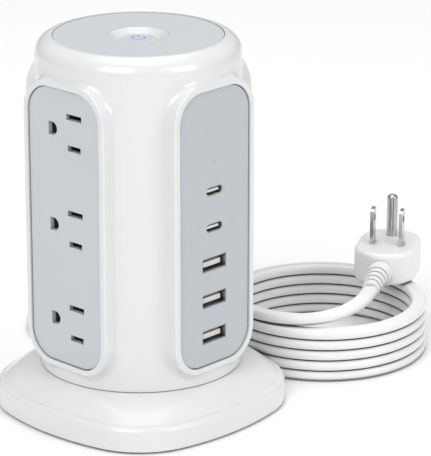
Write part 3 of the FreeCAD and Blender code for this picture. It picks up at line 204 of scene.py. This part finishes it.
class Surface:
    """A material being built: its node tree, its shader and the object's own coordinates."""

    def __init__(self, name, colour, roughness):
        self.material = bpy.data.materials.new(name)
        self.material.use_nodes = True
        self.tree = self.material.node_tree
        self.nodes = self.tree.nodes
        self.links = self.tree.links
        self.shader = self.nodes["Principled BSDF"]
        self.colour = colour
        self.shader.inputs["Base Color"].default_value = (*colour, 1)
        self.shader.inputs["Roughness"].default_value = roughness
        self.place = self.nodes.new("ShaderNodeTexCoord").outputs["Object"]
        self.height = None

    def set(self, **values):
        """Set the shader's own sockets by name, with an underscore for a space."""
        for name, value in values.items():
            self.shader.inputs[name.replace("_", " ")].default_value = value
        return self

    def noise(self, scale, detail=3.0, stretch=(1, 1, 1)):
        """Smooth noise across the piece, with about scale lumps to a metre."""
        mapping = self.nodes.new("ShaderNodeMapping")
        mapping.inputs["Scale"].default_value = stretch
        self.links.new(self.place, mapping.inputs["Vector"])
        noise = self.nodes.new("ShaderNodeTexNoise")
        noise.inputs["Scale"].default_value = scale
        noise.inputs["Detail"].default_value = detail
        self.links.new(mapping.outputs["Vector"], noise.inputs["Vector"])
        return noise.outputs["Fac"]

    def ramp(self, noise, low, high):
        """Map the middle range of some noise to two values."""
        return map_range(self.tree, noise, NOISE_MIDDLE, (low, high))

    def vary_roughness(self, scale, low, high, stretch=(1, 1, 1)):
        """Drift between two roughnesses."""
        self.links.new(self.ramp(self.noise(scale, 4.0, stretch), low, high),
                       self.shader.inputs["Roughness"])
        return self

    def vary_colour(self, scale, amount, other=None, stretch=(1, 1, 1)):
        """Drift gently between the colour and a darker or given one."""
        mix = self.nodes.new("ShaderNodeMix")
        mix.data_type = "RGBA"
        darker = other or tuple(part * (1 - amount) for part in self.colour)
        mix.inputs["A"].default_value = (*self.colour, 1)
        mix.inputs["B"].default_value = (*darker, 1)
        self.links.new(self.ramp(self.noise(scale, 3.0, stretch), 0.0, 1.0), mix.inputs["Factor"])
        self.links.new(mix.outputs["Result"], self.shader.inputs["Base Color"])
        return self

    def painted_crease_shade(self, reach, deepest):
        """Painted shade: darken the colour in seams, grooves and creases narrower than about reach
        metres, down to a share, where shade falls.
        """
        colour = self.shader.inputs["Base Color"]
        occlusion = self.nodes.new("ShaderNodeAmbientOcclusion")
        occlusion.samples = 8
        occlusion.inputs["Distance"].default_value = reach
        shade = map_range(self.tree, occlusion.outputs["AO"], PAINTED_SHADE_FADE, (deepest, 1.0))
        mix = self.nodes.new("ShaderNodeMix")
        mix.data_type = "RGBA"
        mix.inputs["A"].default_value = (0, 0, 0, 1)
        mix.inputs["B"].default_value = (*self.colour, 1)
        if colour.is_linked:
            self.links.new(colour.links[0].from_socket, mix.inputs["B"])
        self.links.new(shade, mix.inputs["Factor"])
        self.links.new(mix.outputs["Result"], colour)
        return self

    def bump(self, scale, depth, detail=2.0, stretch=(1, 1, 1)):
        """Add a layer of relief, depth metres deep."""
        node = self.nodes.new("ShaderNodeBump")
        node.inputs["Distance"].default_value = depth
        node.inputs["Strength"].default_value = 1.0
        self.links.new(self.noise(scale, detail, stretch), node.inputs["Height"])
        if self.height is not None:
            self.links.new(self.height, node.inputs["Normal"])
        self.height = node.outputs["Normal"]
        self.links.new(self.height, self.shader.inputs["Normal"])
        return self


def glossy_white(name, colour=(0.72, 0.725, 0.73)):
    """Polished white ABS: a faint ripple from the mould and a little skin under the gloss."""
    surface = Surface(name, colour, 0.2)
    surface.set(Specular_IOR_Level=0.5, Coat_Weight=0.35, Coat_Roughness=0.12)
    surface.vary_colour(22, 0.015)
    # painted shade, darkened into the colour of seams and creases
    surface.painted_crease_shade(0.003, 0.45)
    surface.vary_roughness(60, 0.17, 0.27)
    surface.bump(1400, 0.000004)
    return surface.bump(45, 0.00003)


def etched_grey(name, colour):
    """Spark-etched grey ABS with a fine even grain."""
    surface = Surface(name, colour, 0.42)
    surface.set(Specular_IOR_Level=0.45)
    surface.vary_colour(30, 0.02)
    # painted shade, darkened into the colour of seams and creases
    surface.painted_crease_shade(0.003, 0.3)
    surface.vary_roughness(500, 0.36, 0.5)
    return surface.bump(3800, 0.000012)


def cord_vinyl(name, colour=(0.82, 0.825, 0.83)):
    """Soft white PVC with faint drag marks from the extruder."""
    surface = Surface(name, colour, 0.34)
    surface.set(Specular_IOR_Level=0.5, Coat_Weight=0.15, Coat_Roughness=0.25)
    surface.vary_colour(80, 0.03)
    # painted shade, near black, in the creases between the coil's turns
    surface.painted_crease_shade(0.004, 0.08)
    surface.vary_roughness(220, 0.28, 0.42)
    return surface.bump(900, 0.00001)


def plain_plastic(name, colour, roughness=0.45):
    """Moulded plastic or rubber, a little uneven in tone and in gloss."""
    surface = Surface(name, colour, roughness)
    surface.vary_colour(120, 0.06)
    surface.vary_roughness(300, roughness - 0.08, roughness + 0.08)
    return surface.bump(1800, 0.00001)


def metal(name, colour, low, high, stretch=(1, 1, 1)):
    """Metal with fine drawing marks, along the way that it is stretched least."""
    surface = Surface(name, colour, low)
    surface.set(Metallic=1.0)
    surface.vary_colour(200, 0.1, stretch=stretch)
    surface.vary_roughness(900, low, high, stretch)
    return surface.bump(1500, 0.000006, stretch=stretch)


def painted_glow(name, colour, strength):
    """A translucent window painted as glowing, with no lamp behind it: the painted light is uneven
    across it, as over a small lamp.
    """
    surface = plain_plastic(name, colour, 0.3)
    surface.shader.inputs["Emission Color"].default_value = (*colour, 1)
    surface.links.new(surface.ramp(surface.noise(700), strength * 0.7, strength),
                      surface.shader.inputs["Emission Strength"])
    return surface


def make_materials():
    """Every material, by the name that NODE_MATERIALS uses."""
    return {
        "white": glossy_white("white_abs"),
        "base": glossy_white("base_abs", (0.75, 0.755, 0.76)),
        "panel": etched_grey("outlet_panel_abs", (0.545, 0.58, 0.61)),
        # the outlet panels' grey made darker: painted shade on the USB face
        "usb_panel": etched_grey("usb_panel_abs_painted_shade", (0.475, 0.507, 0.535)),
        "cap": etched_grey("cap_abs", (0.535, 0.568, 0.59)),
        "bezel": glossy_white("bezel_abs", (0.68, 0.69, 0.70)),
        "button": glossy_white("button_abs", (0.60, 0.62, 0.65)),
        "cord": cord_vinyl("cord_pvc"),
        "plug_back": etched_grey("plug_back_abs", (0.42, 0.44, 0.46)),
        "rubber": plain_plastic("foot_rubber", (0.25, 0.25, 0.26), 0.75),
        # near black: painted shade for the depth of the slots and earth holes
        "block": plain_plastic("block_black_painted_shade", (0.05, 0.05, 0.053), 0.5),
        "inner": plain_plastic("column_nylon", (0.55, 0.55, 0.53), 0.5),
        "board": plain_plastic("board_green", (0.02, 0.16, 0.06), 0.35),
        "varistor": plain_plastic("varistor_blue", (0.05, 0.12, 0.42), 0.3),
        "black": plain_plastic("wire_black", (0.02, 0.02, 0.02), 0.4),
        "green": plain_plastic("wire_green", (0.03, 0.30, 0.08), 0.4),
        "tongue": plain_plastic("tongue_white", (0.78, 0.78, 0.76), 0.4),
        # the steel is real; its dark tone is painted shade for the sockets' insides
        "usb_steel": metal("usb_shell_steel_painted_shade", (0.34, 0.335, 0.33), 0.3, 0.45),
        "steel": metal("screw_zinc", (0.62, 0.62, 0.63), 0.28, 0.42),
        "iron": metal("weight_iron", (0.28, 0.28, 0.29), 0.5, 0.7),
        "nickel": metal("nickel_plate", (0.50, 0.495, 0.485), 0.1, 0.2, (1, 1, 0.1)),
        "brass": metal("contact_brass", (0.80, 0.62, 0.30), 0.2, 0.35),
        # painted glow: the blue mark shines though the strip's lamp is dark
        "mark": painted_glow("button_mark_painted_glow", (0.06, 0.17, 0.70), 0.25),
        "lamp": plain_plastic("indicator_lamp", (0.42, 0.52, 0.46), 0.25),
    }


NODE_MATERIALS = {
    "white": ["body_shell"],
    "base": ["base_shell", "base_bottom_cover"],
    "panel": ["outlet_panel_front", "outlet_panel_left", "outlet_panel_back"],
    "usb_panel": ["usb_panel"],
    "cap": ["top_cover"],
    "bezel": ["switch_bezel"],
    "button": ["power_button"],
    "cord": ["cord_strain_relief", "plug_strain_relief", "plug_body"],
    "plug_back": ["plug_back"],
    "rubber": ["rubber_feet"],
    # the blocks' near black is painted shade seen through the slots
    "block": ["outlet_block_front", "outlet_block_left", "outlet_block_back"],
    "inner": ["support_column", "switch_body"],
    "board": ["usb_board", "surge_board"],
    "varistor": ["varistors"],
    "black": ["line_wire"],
    "green": ["ground_wire"],
    "tongue": ["neutral_wire", "usb_a_insulator_1", "usb_a_insulator_2", "usb_a_insulator_3",
               "usb_c_insulator_1", "usb_c_insulator_2"],
    # the shells' dark tone is painted shade inside the sockets
    "usb_steel": ["usb_a_shell_1", "usb_a_shell_2", "usb_a_shell_3", "usb_c_shell_1",
                  "usb_c_shell_2"],
    "steel": ["base_screws", "column_screws"],
    "iron": ["base_weight"],
    "nickel": ["plug_line_blade", "plug_neutral_blade", "plug_ground_pin"],
    "brass": [f"{kind}_strip_{face}" for kind in ("line", "neutral", "ground")
              for face in ("front", "left", "back")],
    "mark": ["button_symbol"],
    "lamp": ["indicator_light"],
}


def dress_nodes(materials):
    """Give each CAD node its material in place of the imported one."""
    for name, nodes in NODE_MATERIALS.items():
        for node in nodes:
            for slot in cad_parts[node].material_slots:
                slot.material = materials[name].material


# ---------------------------------------------------------------------------------------------
# Cord
# ---------------------------------------------------------------------------------------------

def coil_points():
    """The turns, one cord's width apart: each lies flat and steps up behind the tower."""
    reach = COIL_RADIUS / math.cos(math.pi / POINTS_PER_TURN)
    points = []
    for step in range(COIL_TURNS * POINTS_PER_TURN):
        travelled = 360 * step / POINTS_PER_TURN
        angle = COIL_START + travelled
        turn = int(travelled // 360)
        along = (angle - 360 * turn - 360 - RISE_START) / (RISE_END - RISE_START)
        rise = min(max(along, 0.0), 1.0)
        rise = rise * rise * (3 - 2 * rise)
        height = CORD_THICKNESS * (0.5 + turn + rise)
        across = COIL_MIDDLE + reach * Vector((math.cos(math.radians(angle)),
                                               math.sin(math.radians(angle))))
        points.append((across.x, across.y, height))
    return points


def cord_section():
    """The flat cord's outline: three round cores side by side under one sheath."""
    outline = bpy.data.curves.new("cord_section", "CURVE")
    outline.dimensions = "2D"
    spline = outline.splines.new("POLY")
    pitch = CORD_WIDTH - CORD_THICKNESS
    spline.points.add(SECTION_POINTS - 1)
    for number, point in enumerate(spline.points):
        angle = 2 * math.pi * number / SECTION_POINTS
        across = math.cos(angle) * CORD_THICKNESS / 2 + math.copysign(pitch / 2, math.cos(angle))
        past_groove = (abs(across) - pitch * GROOVE_PLACE) / GROOVE_WIDTH
        groove = GROOVE_DEPTH * math.exp(-past_groove ** 2)
        up = math.sin(angle) * (CORD_THICKNESS / 2 - groove)
        point.co = (across, up, 0, 1)
    spline.use_cyclic_u = True
    return bpy.data.objects.new("cord_section", outline)


def make_cord(materials):
    """One spline for the whole cord: the lead, the coil's turns and the end with the plug."""
    points = LEAD_ROUTE + coil_points() + TAIL_ROUTE
    curve = bpy.data.curves.new("mains_cord", "CURVE")
    curve.dimensions = "3D"
    curve.bevel_mode = "OBJECT"
    curve.bevel_object = cord_section()
    curve.twist_mode = "Z_UP"
    curve.use_fill_caps = True
    spline = curve.splines.new("NURBS")
    spline.points.add(len(points) - 1)
    for point, place in zip(spline.points, points):
        point.co = (*place, 1)
    spline.order_u = 3
    spline.use_endpoint_u = True
    spline.resolution_u = 6
    spline.use_smooth = True
    cord = add_object("mains_cord", curve)
    curve.materials.append(materials["cord"].material)
    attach(cord, "tower")
    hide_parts("cord_lead", "cord_coil", "cord_tail")


def make_spring(materials):
    """The spring under the button: a steel copy of the CAD spring, with a mesh of its own."""
    spring = add_object("return_spring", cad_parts["button_spring"].data.copy())
    spring.data.materials.clear()
    spring.data.materials.append(materials["steel"].material)
    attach(spring, "tower")
    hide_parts("button_spring")
    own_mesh(spring)


def main():
    """Set up the studio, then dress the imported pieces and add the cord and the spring."""
    make_camera()
    make_light()
    make_floor()
    materials = make_materials()
    dress_nodes(materials)
    make_cord(materials)
    make_spring(materials)


main()
